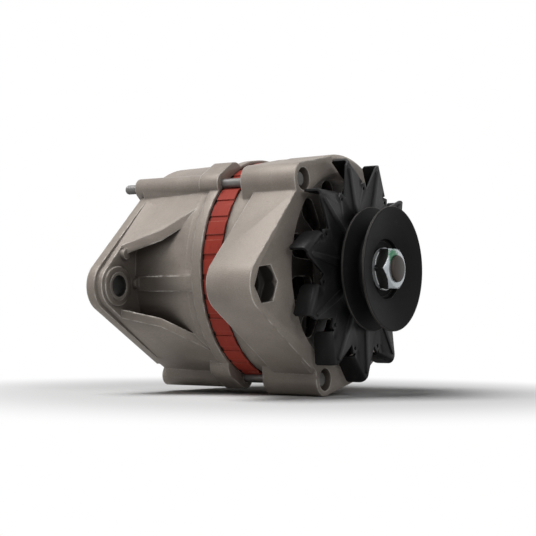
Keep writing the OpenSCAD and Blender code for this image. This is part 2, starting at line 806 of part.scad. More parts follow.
module brush_holder() {
    block_front_x = front_ring_x + brush_w / 2 + 2;
    block_rear_x = rear_ring_x - brush_w / 2 - 2;
    color(plastic) difference() {
        union() {
            translate([block_rear_x, -holder_y, holder_low_z])
                cube([block_front_x - block_rear_x, 2 * holder_y, holder_z - holder_low_z]);
            translate([rear_x - 0.5, -holder_y, neck_low_z])
                cube([block_rear_x - rear_x + 1, 2 * holder_y, holder_z - neck_low_z]);
            slab(rear_x - flange_t, rear_x) {
                square_h = holder_z - neck_low_z + 4;
                translate([-holder_y - 2, neck_low_z - 2]) square([2 * holder_y + 4, square_h]);
                tapered_bar([-flange_screw_y, flange_z], 5, [flange_screw_y, flange_z], 4.99);
            }
        }
        for (x = [front_ring_x, rear_ring_x])
            translate([x - brush_w / 2 - slide_gap, -brush_t / 2 - slide_gap, holder_low_z - 1])
                cube([brush_w + 2 * slide_gap, brush_t + 2 * slide_gap,
                    chamber_floor_z - holder_low_z + 1]);
        slab(rear_x - flange_t - 1, rear_x + 1) for (s = [-1, 1])
            translate([s * flange_screw_y, flange_z]) circle(1.5 + bolt_gap);
    }
}

module brush_holder_screws() {
    color(bright_steel) for (s = [-1, 1]) {
        slab(rear_x - flange_t - 0.5, end_wall_x + 1) translate([s * flange_screw_y, flange_z])
            circle(1.5);
        slab(rear_x - flange_t - 2.2, rear_x - flange_t) translate([s * flange_screw_y, flange_z])
            circle(2.8);
    }
}

brush_z = slip_ring_d / 2 + 0.06;

module brush(x) {
    color("#3c3835") difference() {
        translate([x - brush_w / 2, -brush_t / 2, brush_z - 0.3])
            cube([brush_w, brush_t, brush_len + 0.3]);
        rod(x - brush_w, x + brush_w, brush_z);
    }
}

module front_brush() { brush(front_ring_x); }
module rear_brush() { brush(rear_ring_x); }

// Helical spring along Z, swept as one tube
spring_turns = 7;
spring_wire_r = 0.3;
spring_r = brush_w / 2 - 0.6;
spring_low_z = brush_z + brush_len + spring_wire_r;
spring_high_z = chamber_floor_z - spring_wire_r;

module brush_spring(x) {
    rings = spring_turns * 14;
    sides = 6;
    rise = (spring_high_z - spring_low_z) / rings;
    points = [
        for (i = [0:rings]) for (j = [0:sides - 1])
            let (a = i * 360 / 14, b = j * 360 / sides, r = spring_r + spring_wire_r * cos(b))
            [r * cos(a), r * sin(a), spring_low_z + rise * i + spring_wire_r * sin(b)]
    ];
    walls = [
        for (i = [0:rings - 1]) for (j = [0:sides - 1])
            let (k = (j + 1) % sides)
            [i * sides + j, i * sides + k, (i + 1) * sides + k, (i + 1) * sides + j]
    ];
    ends = [[for (j = [sides - 1:-1:0]) j], [for (j = [0:sides - 1]) rings * sides + j]];
    color(bright_steel) translate([x, 0, 0]) polyhedron(points, concat(walls, ends));
}

module front_brush_spring() { brush_spring(front_ring_x); }
module rear_brush_spring() { brush_spring(rear_ring_x); }

// Terminal block with two flat blades
block_t = 4;
block_len = 20;
terminal_pin_r = 1.6;
spade_len = 9;

module terminal_place(side) {
    translate(block_at + polar(block_len * 0.3, block_angle + 90 * side)) children();
}

module terminal_block() {
    color(plastic) difference() {
        slab(rear_x - block_t, rear_x) translate(block_at) rotate(block_angle)
            square([9, block_len], center = true);
        slab(rear_x - block_t - 1, rear_x + 1) for (s = [-1, 1])
            terminal_place(s) circle(terminal_pin_r + seat_gap);
    }
}

module spade_terminals() {
    color("#b89a5a") for (s = [-1, 1]) {
        slab(rear_x - block_t - 0.5, end_wall_x + 2) terminal_place(s) circle(terminal_pin_r);
        slab(rear_x - block_t - spade_len, rear_x - block_t) terminal_place(s)
            rotate(block_angle) square([6.3, 0.8], center = true);
    }
}

// Steel sleeve that slides in the rear ear when the pivot bolt is tightened
sleeve_x = rear_x - 0.6;

module pivot_sleeve() {
    color(bright_steel) slab(sleeve_x, sleeve_x + sleeve_len) translate(pivot) difference() {
        circle(sleeve_d / 2);
        circle(pivot_bore_d / 2);
    }
}

// Rotor: shaft with its key, two interleaved claw poles round the field coil, and slip rings
key_front_x = seat_x - 2;
key_rear_x = fan_x - fan_t + 0.2;
key_low_r = shaft_r - 2.4;
key_high_r = shaft_r + 1.8;

module key_box(gap) {
    translate([key_rear_x - gap, -key_w / 2 - gap, key_low_r - gap])
        cube([key_front_x - key_rear_x + 2 * gap, key_w + 2 * gap, key_high_r - key_low_r + 2 * gap]);
}

module rotor_shaft() {
    color("#8c857c") difference() {
        turned([
            [0, shaft_front_x], [thread_d / 2 - 1, shaft_front_x],
            [thread_d / 2, shaft_front_x - 1], [thread_d / 2, seat_x - 1],
            [shaft_r, seat_x - 1.5], [shaft_r, retainer_x],
            [shoulder_d / 2, retainer_x], [shoulder_d / 2, pole_front_x],
            [pole_seat_d / 2, pole_front_x], [pole_seat_d / 2, pole_rear_x],
            [ring_seat_d / 2, pole_rear_x], [ring_seat_d / 2, rear_bearing_x],
            [rear_shaft_d / 2, rear_bearing_x], [rear_shaft_d / 2, rear_x + rear_cap_t + 1.2],
            [rear_shaft_d / 2 - 0.8, rear_x + rear_cap_t + 0.4], [0, rear_x + rear_cap_t + 0.4]
        ]);
        key_box(seat_gap);
    }
}

module shaft_key() {
    color(bright_steel) key_box(0);
}

claw_root_w = 26;
claw_tip_w = 11;
claw_root_t = 10;
claw_tip_t = 4.5;

// A claw pole with its disc at local x = 0 and its claws running towards -X
module claw_pole(turn) {
    claw_len = pole_len - 2;
    difference() {
        union() {
            slab(-disc_t, 0) intersection() {
                circle(rotor_r);
                union() {
                    circle(core_d / 2 + 8);
                    for (i = [0:claw_count - 1]) rotate(i * 360 / claw_count + turn)
                        translate([0, -claw_root_w / 2]) square([rotor_r + 2, claw_root_w]);
                }
            }
            rod(-pole_len / 2, -disc_t + 1, core_d / 2);
            intersection() {
                turned([
                    [rotor_r, 0], [rotor_r, -claw_len], [rotor_r - claw_tip_t, -claw_len],
                    [rotor_r - claw_root_t, -disc_t], [rotor_r - claw_root_t, 0]
                ]);
                for (i = [0:claw_count - 1]) rotate([i * 360 / claw_count + turn - 90, 0, 0])
                    linear_extrude(rotor_r + 2) claw_outline(claw_len);
            }
        }
        rod(-pole_len / 2 - 1, 1, pole_seat_d / 2 + seat_gap);
        // Chamfer round the outer corner of the disc
        turned([
            [rotor_r - 2.4, 1], [rotor_r + 1, 1], [rotor_r + 1, -3.4]
        ]);
    }
}

module claw_outline(claw_len) {
    polygon([
        [0, -claw_root_w / 2], [0, claw_root_w / 2], [-disc_t, claw_root_w / 2],
        [-claw_len, claw_tip_w / 2], [-claw_len, -claw_tip_w / 2], [-disc_t, -claw_root_w / 2]
    ]);
}

module front_claw_pole() {
    color("#77706a") translate([pole_front_x, 0, 0]) claw_pole(90);
}

module rear_claw_pole() {
    color("#77706a") translate([pole_rear_x, 0, 0]) mirror([1, 0, 0])
        claw_pole(90 + 180 / claw_count);
}

bobbin_t = 1.3;
bobbin_r = coil_d / 2 + 0.8;

module coil_bobbin() {
    front = pole_front_x - disc_t;
    rear = pole_rear_x + disc_t;
    inner = core_d / 2 + seat_gap;
    color("#d8d2c0") turned([
        [inner, front], [bobbin_r, front], [bobbin_r, front - bobbin_t],
        [inner + bobbin_t, front - bobbin_t], [inner + bobbin_t, rear + bobbin_t],
        [bobbin_r, rear + bobbin_t], [bobbin_r, rear], [inner, rear]
    ]);
}

module field_coil() {
    color(copper) tube(pole_rear_x + disc_t + bobbin_t, pole_front_x - disc_t - bobbin_t,
        coil_d / 2, core_d / 2 + seat_gap + bobbin_t);
}

carrier_r = slip_ring_d / 2 - 2.4;

module slip_ring_carrier() {
    color(plastic) {
        tube(ring_mid_x - ring_pitch, ring_mid_x + ring_pitch, carrier_r, ring_seat_d / 2);
        tube(ring_mid_x - (ring_pitch - slip_ring_w) / 2, ring_mid_x + (ring_pitch - slip_ring_w) / 2,
            slip_ring_d / 2 - 0.8, carrier_r - 0.5);
    }
}

module slip_ring(x) {
    color("#b87a45") tube(x - slip_ring_w / 2, x + slip_ring_w / 2, slip_ring_d / 2, carrier_r);
}

module front_slip_ring() { slip_ring(front_ring_x); }
module rear_slip_ring() { slip_ring(rear_ring_x); }

module spacer_collar() {
    color(bright_steel) tube(bearing_x, fan_x - fan_t, collar_r, shaft_r + seat_gap);
}

// Fan: one pressed sheet, each petal with its trailing edge bent back as a blade
fan_pitch = 360 / blade_count;
blade_sweep = 14;
blade_corner_r = 4;

// Outer face of the blade of a petal whose leading notch is at angle 0, and the start of its bend
blade_in = polar(notch_r + 7, -tip_lean - blade_sweep);
blade_out = polar(fan_r, -tip_lean);
blade_turn = atan2(blade_out.y - blade_in.y, blade_out.x - blade_in.x);
blade_len = norm(blade_out - blade_in);
bend_in = blade_in + polar(bend_r + 0.5, blade_turn + 90);
bend_out = blade_out + polar(bend_r + 0.5, blade_turn + 90);

// Outline of the flat sheet: from each notch to the tip, along the bend and on to the next notch
module fan_outline() {
    petal = [
        polar(notch_r, 0), polar(fan_r - 4, 3.9 - tip_lean), bend_out, bend_in,
        polar(notch_r + 5, -tip_lean - blade_sweep - 1.6)
    ];
    polygon([for (i = [0:blade_count - 1], p = petal)
        polar(norm(p), notch_angle - i * fan_pitch + atan2(p.y, p.x))]);
}

// Bent flange, its section swept along the bend and its corners cut in side view
module blade() {
    low = fan_t - blade_depth;
    inside_r = bend_r - fan_t;
    steps = 5;
    section = concat(
        [for (i = [0:steps]) [bend_r, fan_t - bend_r] + polar(bend_r, 90 + 90 * i / steps)],
        [[0, low], [fan_t, low]],
        [for (i = [steps:-1:0]) [bend_r, fan_t - bend_r] + polar(inside_r, 90 + 90 * i / steps)],
        [[bend_r + 1.2, 0.1], [bend_r + 1.2, fan_t - 0.1]]
    );
    side = concat(
        [[0.2, fan_t + 1]],
        [for (i = [0:6]) [0.2 + blade_corner_r, low + blade_corner_r] + polar(blade_corner_r, 180 + 15 * i)],
        [[blade_len - 1.4, low], [blade_len - 0.3, low + 1.1], [blade_len - 0.3, fan_t + 1]]
    );
    translate(blade_in) rotate(blade_turn) intersection() {
        rotate([90, 0, 90]) linear_extrude(blade_len) polygon(section);
        rotate([90, 0, 0]) translate([0, 0, -bend_r - 2]) linear_extrude(bend_r + 3) polygon(side);
    }
}

module fan_rib() {
    tapered_bar(polar(flange_r - 4, 2.8 - tip_lean), 2.4, polar(fan_r - 7, 2.2 - tip_lean), 1.4);
}

module relief_hole() {
    translate(polar(notch_r + 1.2, -tip_lean - blade_sweep)) circle(1.1);
}

module fan() {
    color(dark_steel) {
        slab(fan_x - fan_t, fan_x) difference() {
            fan_outline();
            circle(shaft_r + seat_gap);
            translate([-key_w / 2 - seat_gap, 0])
                square([key_w + 2 * seat_gap, key_high_r + seat_gap]);
            for (i = [0:blade_count - 1]) rotate(notch_angle + i * fan_pitch) relief_hole();
        }
        for (i = [0:blade_count - 1]) {
            station(fan_x - fan_t) rotate(notch_angle + i * fan_pitch) blade();
            slab(fan_x - fan_t / 2, fan_x + 0.9) rotate(notch_angle + i * fan_pitch) fan_rib();
        }
    }
}

// Pulley: turned from the solid, with thin rims and a recess round the nut
module pulley() {
    top = groove_w / 2;
    bottom = top - groove_depth * tan(groove_angle / 2);
    bottom_r = flange_r - groove_depth;
    color(dark_steel) difference() {
        turned([
            [shaft_r + seat_gap, fan_x], [hub_d / 2, fan_x], [hub_d / 2, -flange_x],
            [flange_r - 0.6, -flange_x], [flange_r, -flange_x + 0.5], [flange_r, -top],
            [bottom_r, -bottom], [bottom_r, bottom], [flange_r, top],
            [flange_r, flange_x - 0.5], [flange_r - 0.6, flange_x],
            [recess_d / 2 + 0.8, flange_x], [recess_d / 2, flange_x - 0.8],
            [recess_d / 2, seat_x + 1], [recess_d / 2 - 1, seat_x],
            [shaft_r + seat_gap, seat_x]
        ]);
        key_box(seat_gap);
    }
}

module spring_washer() {
    color(bright_steel) slab(seat_x, nut_x) difference() {
        circle(washer_d / 2);
        circle(thread_d / 2 + 0.5);
        rotate(250) translate([0, -0.6]) square([washer_d, 1.2]);
    }
}

module pulley_nut() {
    corner_r = nut_af / 2 / cos(30);
    flat_r = nut_af / 2;
    color(bright_steel) difference() {
        intersection() {
            slab(nut_x, nut_x + nut_h) circle(corner_r, $fn = 6);
            turned([
                [0, nut_x], [flat_r, nut_x], [corner_r + 0.1, nut_x + 0.9],
                [corner_r + 0.1, nut_x + nut_h - 2.2], [flat_r - 1, nut_x + nut_h], [0, nut_x + nut_h]
            ]);
        }
        rod(nut_x - 1, nut_x + nut_h + 1, thread_d / 2 + seat_gap);
    }
}

front_bracket();
rear_bracket();
stator_core();
winding_u();
winding_v();
winding_w();
through_bolts();
front_bearing_outer_race();
bearing_retainer();
retainer_screws();
rear_bearing_outer_race();
positive_heat_sink();
negative_heat_sink();
positive_diodes();
negative_diodes();
heat_sink_insulators();
heat_sink_screws();
output_stud();
output_insulator();
output_nut();
brush_holder();
brush_holder_screws();
terminal_block();
spade_terminals();
front_brush();
rear_brush();
front_brush_spring();
rear_brush_spring();
pivot_sleeve();
rotor_shaft();
shaft_key();
front_claw_pole();
rear_claw_pole();
field_coil();
coil_bobbin();
slip_ring_carrier();
front_slip_ring();
rear_slip_ring();
front_bearing_inner_race();
rear_bearing_inner_race();
front_bearing_balls();
front_bearing_cage();
rear_bearing_balls();
rear_bearing_cage();
spacer_collar();
fan();
pulley();
spring_washer();
pulley_nut();
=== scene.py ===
import json
import math
import bmesh
import bpy
from mathutils import Matrix, Vector


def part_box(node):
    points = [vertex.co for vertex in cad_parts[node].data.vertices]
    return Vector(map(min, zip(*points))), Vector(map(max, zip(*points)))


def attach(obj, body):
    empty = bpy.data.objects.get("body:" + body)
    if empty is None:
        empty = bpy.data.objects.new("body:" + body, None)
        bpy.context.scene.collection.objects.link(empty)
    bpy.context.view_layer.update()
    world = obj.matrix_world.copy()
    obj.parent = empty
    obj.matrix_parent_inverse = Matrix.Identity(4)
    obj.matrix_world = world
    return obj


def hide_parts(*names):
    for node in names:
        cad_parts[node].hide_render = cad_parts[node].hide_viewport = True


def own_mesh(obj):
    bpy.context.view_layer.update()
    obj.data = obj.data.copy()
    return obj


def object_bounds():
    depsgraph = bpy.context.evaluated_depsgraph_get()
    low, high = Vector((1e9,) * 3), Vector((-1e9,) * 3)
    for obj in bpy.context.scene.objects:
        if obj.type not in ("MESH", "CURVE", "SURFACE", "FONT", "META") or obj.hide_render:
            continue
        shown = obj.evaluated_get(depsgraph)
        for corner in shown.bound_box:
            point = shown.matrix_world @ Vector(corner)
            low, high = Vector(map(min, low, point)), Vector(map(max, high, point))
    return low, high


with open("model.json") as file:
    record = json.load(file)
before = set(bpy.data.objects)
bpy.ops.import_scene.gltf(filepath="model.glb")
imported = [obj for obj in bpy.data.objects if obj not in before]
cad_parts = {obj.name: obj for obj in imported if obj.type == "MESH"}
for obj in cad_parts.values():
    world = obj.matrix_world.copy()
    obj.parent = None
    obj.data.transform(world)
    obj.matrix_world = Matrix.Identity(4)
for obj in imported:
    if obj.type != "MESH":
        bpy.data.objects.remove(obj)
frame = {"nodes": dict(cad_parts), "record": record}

cadLow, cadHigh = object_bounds()
nodes = frame["nodes"]
slotOf = {row["node"]: row["material_slot"] for row in frame["record"]["subparts"]}
print("frame loaded:", len(nodes), "nodes")


# Camera at the photograph's place, with its small roll
cameraLook = dict(place=(0.3819, -0.7101, -0.0356), azimuth=33.25, elevation=-2.55, roll=0.35, lens=88.72,
                  sensor=36, clipStart=0.01)


def makeCamera(look):
    azimuth, elevation, roll = (math.radians(look[name]) for name in ("azimuth", "elevation", "roll"))
    back = Vector((math.sin(azimuth) * math.cos(elevation), -math.cos(azimuth) * math.cos(elevation),
                   math.sin(elevation)))
    right = Vector((math.cos(azimuth), math.sin(azimuth), 0))
    up = back.cross(right)
    side = right * math.cos(roll) + up * math.sin(roll)
    top = up * math.cos(roll) - right * math.sin(roll)
    camera = bpy.data.objects.new("photoCamera", bpy.data.cameras.new("photoCamera"))
    bpy.context.scene.collection.objects.link(camera)
    turn = Matrix((side, top, back)).transposed().to_4x4()
    camera.matrix_world = Matrix.Translation(look["place"]) @ turn
    camera.data.lens = look["lens"]
    camera.data.sensor_width = look["sensor"]
    camera.data.clip_start = look["clipStart"]
    bpy.context.scene.camera = camera


makeCamera(cameraLook)
print("camera placed")


# Shader helpers: a value may be a number, a colour or another node's socket
def addNode(tree, kind, values=None, **settings):
    node = tree.nodes.new(kind)
    for name, value in settings.items():
        setattr(node, name, value)
    for name, value in (values or {}).items():
        if isinstance(value, bpy.types.NodeSocket):
            tree.links.new(value, node.inputs[name])
        else:
            node.inputs[name].default_value = value
    return node


def mathNode(tree, operation, a, b=0.0, clamp=False):
    return addNode(tree, "ShaderNodeMath", {0: a, 1: b}, operation=operation, use_clamp=clamp).outputs[0]


def spread(tree, value, low, high):  # 0 at low, 1 at high, and held there beyond them
    return addNode(tree, "ShaderNodeMapRange", {0: value, 1: low, 2: high}).outputs[0]


def mixColours(tree, factor, a, b):
    return addNode(tree, "ShaderNodeMix", {0: factor, 6: a, 7: b}, data_type="RGBA").outputs[2]


def objectCoords(tree):
    return addNode(tree, "ShaderNodeTexCoord").outputs["Object"]


def splitCoords(tree):
    return addNode(tree, "ShaderNodeSeparateXYZ", {0: objectCoords(tree)}).outputs


def axisDistance(tree, split):  # the shaft's axis is the x axis
    squares = [mathNode(tree, "MULTIPLY", split[i], split[i]) for i in (1, 2)]
    return mathNode(tree, "SQRT", mathNode(tree, "ADD", *squares))


def distanceFrom(tree, spot):
    return addNode(tree, "ShaderNodeVectorMath", {0: objectCoords(tree), 1: spot},
                   operation="DISTANCE").outputs["Value"]


def newGroup(name, inputs, outputs):
    tree = bpy.data.node_groups.new(name, "ShaderNodeTree")
    for label in inputs:
        tree.interface.new_socket(name=label, in_out="INPUT", socket_type="NodeSocketFloat")
    for label, kind in outputs.items():
        tree.interface.new_socket(name=label, in_out="OUTPUT", socket_type="NodeSocket" + kind)
    return tree, tree.nodes.new("NodeGroupInput").outputs, tree.nodes.new("NodeGroupOutput").inputs


# Bright edges: real wear, and on the pulley and nut also a painted highlight; where the rounded normal leaves the
# true one, broken up by noise
wearAndHighlightPattern = dict(samples=6, detail=4.0, patchLow=0.35, patchHigh=0.62)


def makeEdgeWearAndHighlight(look):
    tree, start, end = newGroup("edgeWearAndHighlight", ("Radius", "Gain", "Break Up"),
                                {"Mask": "Float", "Round Normal": "Vector"})
    rounded = addNode(tree, "ShaderNodeBevel", {"Radius": start["Radius"]}, samples=look["samples"]).outputs[0]
    shape = addNode(tree, "ShaderNodeNewGeometry").outputs["Normal"]
    dot = addNode(tree, "ShaderNodeVectorMath", {0: rounded, 1: shape}, operation="DOT_PRODUCT").outputs["Value"]
    bend = mathNode(tree, "MULTIPLY", mathNode(tree, "SUBTRACT", 1.0, dot), start["Gain"], True)
    noise = addNode(tree, "ShaderNodeTexNoise", {"Vector": objectCoords(tree), "Scale": start["Break Up"],
                                                 "Detail": look["detail"]}).outputs[0]
    patch = spread(tree, noise, look["patchLow"], look["patchHigh"])
    tree.links.new(mathNode(tree, "MULTIPLY", bend, patch, True), end["Mask"])
    tree.links.new(rounded, end["Round Normal"])
    return tree


# Fine cast or sprayed grain, with slow blotches and small dark specks
grainPattern = {
    "Grain": dict(scale="Grain Scale", detail=3.0, low=0.3, high=0.7),
    "Blotch": dict(scale="Blotch Scale", detail=5.0, low=0.3, high=0.7),
    "Specks": dict(scale="Speck Scale", detail=2.0, low=0.62, high=0.74),
}


def makeSurfaceGrain(look):
    tree, start, end = newGroup("surfaceGrain", [layer["scale"] for layer in look.values()],
                                {label: "Float" for label in look})
    coords = objectCoords(tree)
    for label, layer in look.items():
        noise = addNode(tree, "ShaderNodeTexNoise", {"Vector": coords, "Scale": start[layer["scale"]],
                                                     "Detail": layer["detail"]}).outputs[0]
        tree.links.new(spread(tree, noise, layer["low"], layer["high"]), end[label])
    return tree


# Turning marks: fine rings round the shaft axis
ringPattern = dict(detail=2.0)


def makeTurnedRings(look):
    tree, start, end = newGroup("turnedRings", ("Ring Scale",), {"Rings": "Float"})
    split = splitCoords(tree)
    place = addNode(tree, "ShaderNodeCombineXYZ", {0: axisDistance(tree, split), 1: split[0]}).outputs[0]
    noise = addNode(tree, "ShaderNodeTexNoise", {"Vector": place, "Scale": start["Ring Scale"],
                                                 "Detail": look["detail"]}).outputs[0]
    tree.links.new(noise, end["Rings"])
    return tree


# Where a point lies: its distance from the shaft axis, and its place along it
def makeShaftPlace():
    tree, start, end = newGroup("shaftPlace", (), {"Radius": "Float", "Along": "Float"})
    split = splitCoords(tree)
    tree.links.new(axisDistance(tree, split), end["Radius"])
    tree.links.new(split[0], end["Along"])
    return tree


# Fine streaks round the body, as blasting leaves on a casting and sheets leave in a stack
streakPattern = dict(detail=3.0, low=0.3, high=0.7)


def makeStreaks(look):
    tree, start, end = newGroup("streaks", ("Fineness", "Stretch"), {"Streaks": "Float"})
    split = splitCoords(tree)
    sides = [mathNode(tree, "MULTIPLY", split[i], start["Stretch"]) for i in (1, 2)]
    place = addNode(tree, "ShaderNodeCombineXYZ", {0: split[0], 1: sides[0], 2: sides[1]}).outputs[0]
    noise = addNode(tree, "ShaderNodeTexNoise", {"Vector": place, "Scale": start["Fineness"],
                                                 "Detail": look["detail"]}).outputs[0]
    tree.links.new(spread(tree, noise, look["low"], look["high"]), end["Streaks"])
    return tree


# Dirt and painted shade: darker where a surface lies deep in a pocket or corner of its own piece, found by ambient
# occlusion
dirtAndShadePattern = dict(samples=8)


def makeDirtAndShade(look):
    tree, start, end = newGroup("dirtAndShade", ("Depth", "Low", "High"), {"Mask": "Float"})
    openness = addNode(tree, "ShaderNodeAmbientOcclusion", {"Distance": start["Depth"]}, samples=look["samples"],
                       only_local=True).outputs["AO"]
    tree.links.new(spread(tree, openness, start["High"], start["Low"]), end["Mask"])
    return tree


# Screw thread: a wave along the shaft between two places
def makeThreadWave():
    tree, start, end = newGroup("threadWave", ("Start", "End", "Pitch"), {"Wave": "Float", "Mask": "Float"})
    along = splitCoords(tree)[0]
    halfPitch = mathNode(tree, "MULTIPLY", start["Pitch"], 0.5)
    wave = mathNode(tree, "DIVIDE", mathNode(tree, "PINGPONG", along, halfPitch), halfPitch)
    inside = mathNode(tree, "MULTIPLY", mathNode(tree, "GREATER_THAN", along, start["Start"]),
                      mathNode(tree, "LESS_THAN", along, start["End"]))
    tree.links.new(mathNode(tree, "MULTIPLY", wave, inside), end["Wave"])
    tree.links.new(inside, end["Mask"])
    return tree


edgeWearAndHighlight = makeEdgeWearAndHighlight(wearAndHighlightPattern)
surfaceGrain = makeSurfaceGrain(grainPattern)
turnedRings = makeTurnedRings(ringPattern)
shaftPlace = makeShaftPlace()
streaks = makeStreaks(streakPattern)
threadWave = makeThreadWave()
dirtAndShade = makeDirtAndShade(dirtAndShadePattern)


# What a finish has where it doesn't say otherwise
plainLook = dict(
    grainScale=900.0, blotchScale=28.0, speckScale=240.0, speckAmount=0.5, streakFineness=700.0, streakStretch=0.04,
    streakAmount=0.3, edgeRadius=0.0008, edgeGain=6.0, breakUp=60.0, dirtAndShadeAmount=0.85, dirtAndShadeHidesEdges=3.0,
    shadeAndHighlightAreas=(), spots=(), sideReflectionLimits=(0.3, 0.1), threadShade=0.7, threadHeight=4.0, ringHeight=2.0, bump=0.2,
    bumpDepth=0.0001, metallic=0.0, specular=0.5, coatRoughness=0.2)


def rgb(colour):
    return (*colour, 1.0)


# One finish: base tones with specks, grain and streaks, then dirt with painted shade in hollows, painted shade and
# highlight by area, painted shade in spots, a painted side reflection, worn edges with a painted highlight, paint,
# rings and thread
def makeFinish(name, ownLook):
    look = dict(plainLook, **ownLook)
    material = bpy.data.materials.new(name)
    material.use_nodes = True
    tree = material.node_tree
    shader = tree.nodes["Principled BSDF"]
    grain = addNode(tree, "ShaderNodeGroup", {
        "Grain Scale": look["grainScale"], "Blotch Scale": look["blotchScale"], "Speck Scale": look["speckScale"],
    }, node_tree=surfaceGrain).outputs
    colour = mixColours(tree, grain["Blotch"], rgb(look["colour"]), rgb(look["colourTwo"]))
    if "speckColour" in look:
        amount = mathNode(tree, "MULTIPLY", grain["Specks"], look["speckAmount"])
        colour = mixColours(tree, amount, colour, rgb(look["speckColour"]))
    if "grainColour" in look:
        amount = mathNode(tree, "MULTIPLY", grain["Grain"], look["grainAmount"])
        colour = mixColours(tree, amount, colour, rgb(look["grainColour"]))
    if "streakColour" in look:
        lines = addNode(tree, "ShaderNodeGroup", {"Fineness": look["streakFineness"],
                                                  "Stretch": look["streakStretch"]}, node_tree=streaks).outputs[0]
        amount = mathNode(tree, "MULTIPLY", lines, look["streakAmount"])
        colour = mixColours(tree, amount, colour, rgb(look["streakColour"]))
    wearAndHighlight = addNode(tree, "ShaderNodeGroup", {"Radius": look["edgeRadius"], "Gain": look["edgeGain"],
                                             "Break Up": look["breakUp"]}, node_tree=edgeWearAndHighlight).outputs
    wornAndHighlit = wearAndHighlight["Mask"]
    # dirt and painted shade in the piece's own hollows
    if "dirtAndShadeColour" in look:
        dirtAndShadeMask = addNode(tree, "ShaderNodeGroup", dict(zip(("Depth", "Low", "High"), look["dirtAndShade"])),
                       node_tree=dirtAndShade).outputs[0]
        amount = mathNode(tree, "MULTIPLY", dirtAndShadeMask, look["dirtAndShadeAmount"])
        colour = mixColours(tree, amount, colour, rgb(look["dirtAndShadeColour"]))
        hidden = mathNode(tree, "MULTIPLY", dirtAndShadeMask, look["dirtAndShadeHidesEdges"])
        wornAndHighlit = mathNode(tree, "MULTIPLY", wornAndHighlit, mathNode(tree, "SUBTRACT", 1.0, hidden, True))
    place = addNode(tree, "ShaderNodeGroup", node_tree=shaftPlace).outputs
    # painted shade and painted highlight, laid by area
    for area, (low, high), tone in look["shadeAndHighlightAreas"]:  # by distance from the axis or place along it
        colour = mixColours(tree, spread(tree, place[area], low, high), colour, rgb(tone))
    for spot, reach, soft, tone in look["spots"]:  # painted shade inside a pocket or corner
        mask = spread(tree, distanceFrom(tree, spot), reach, reach - soft)
        colour = mixColours(tree, mask, colour, rgb(tone))
    if "sideReflectionColour" in look:  # painted reflection: flanks facing sideways take the dark of the recess round them
        normal = addNode(tree, "ShaderNodeTexCoord").outputs["Normal"]
        facing = addNode(tree, "ShaderNodeSeparateXYZ", {0: normal}).outputs[0]
        colour = mixColours(tree, spread(tree, facing, *look["sideReflectionLimits"]), colour, rgb(look["sideReflectionColour"]))
    # worn edges, and on the pulley and nut a painted highlight along the edges
    if "wearAndHighlightColour" in look:
        colour = mixColours(tree, wornAndHighlit, colour, rgb(look["wearAndHighlightColour"]))
    if "paint" in look:  # a dab of marking paint
        dab = look["paint"]
        away = distanceFrom(tree, dab["place"])
        ragged = mathNode(tree, "ADD", away, mathNode(tree, "MULTIPLY", grain["Grain"], dab["ragged"]))
        mask = spread(tree, ragged, dab["reach"], dab["core"])
        colour = mixColours(tree, mathNode(tree, "MULTIPLY", mask, dab["cover"]), colour, rgb(dab["colour"]))
    height = grain["Grain"]
    if "rings" in look:
        rings = addNode(tree, "ShaderNodeGroup", {"Ring Scale": look["rings"]}, node_tree=turnedRings).outputs[0]
        height = mathNode(tree, "ADD", height, mathNode(tree, "MULTIPLY", rings, look["ringHeight"]))
    if "thread" in look:
        thread = addNode(tree, "ShaderNodeGroup", dict(zip(("Start", "End", "Pitch"), look["thread"])),
                         node_tree=threadWave).outputs
        groove = mathNode(tree, "SUBTRACT", thread["Mask"], thread["Wave"])
        shade = mathNode(tree, "MULTIPLY", groove, look["threadShade"])
        colour = mixColours(tree, shade, colour, rgb(look["threadColour"]))
        height = mathNode(tree, "ADD", height, mathNode(tree, "MULTIPLY", thread["Wave"], look["threadHeight"]))
    tree.links.new(colour, shader.inputs["Base Color"])
    low, high = look["roughness"]
    rough = addNode(tree, "ShaderNodeMapRange", {0: grain["Blotch"], 3: low, 4: high}).outputs[0]
    tree.links.new(rough, shader.inputs["Roughness"])
    bump = addNode(tree, "ShaderNodeBump", {"Height": height, "Strength": look["bump"],
                                            "Distance": look["bumpDepth"], "Normal": wearAndHighlight["Round Normal"]})
    tree.links.new(bump.outputs[0], shader.inputs["Normal"])
    shader.inputs["Metallic"].default_value = look["metallic"]
    shader.inputs["Specular IOR Level"].default_value = look["specular"]
    if "coat" in look:
        shader.inputs["Coat Weight"].default_value = look["coat"]
        shader.inputs["Coat Roughness"].default_value = look["coatRoughness"]
    return material


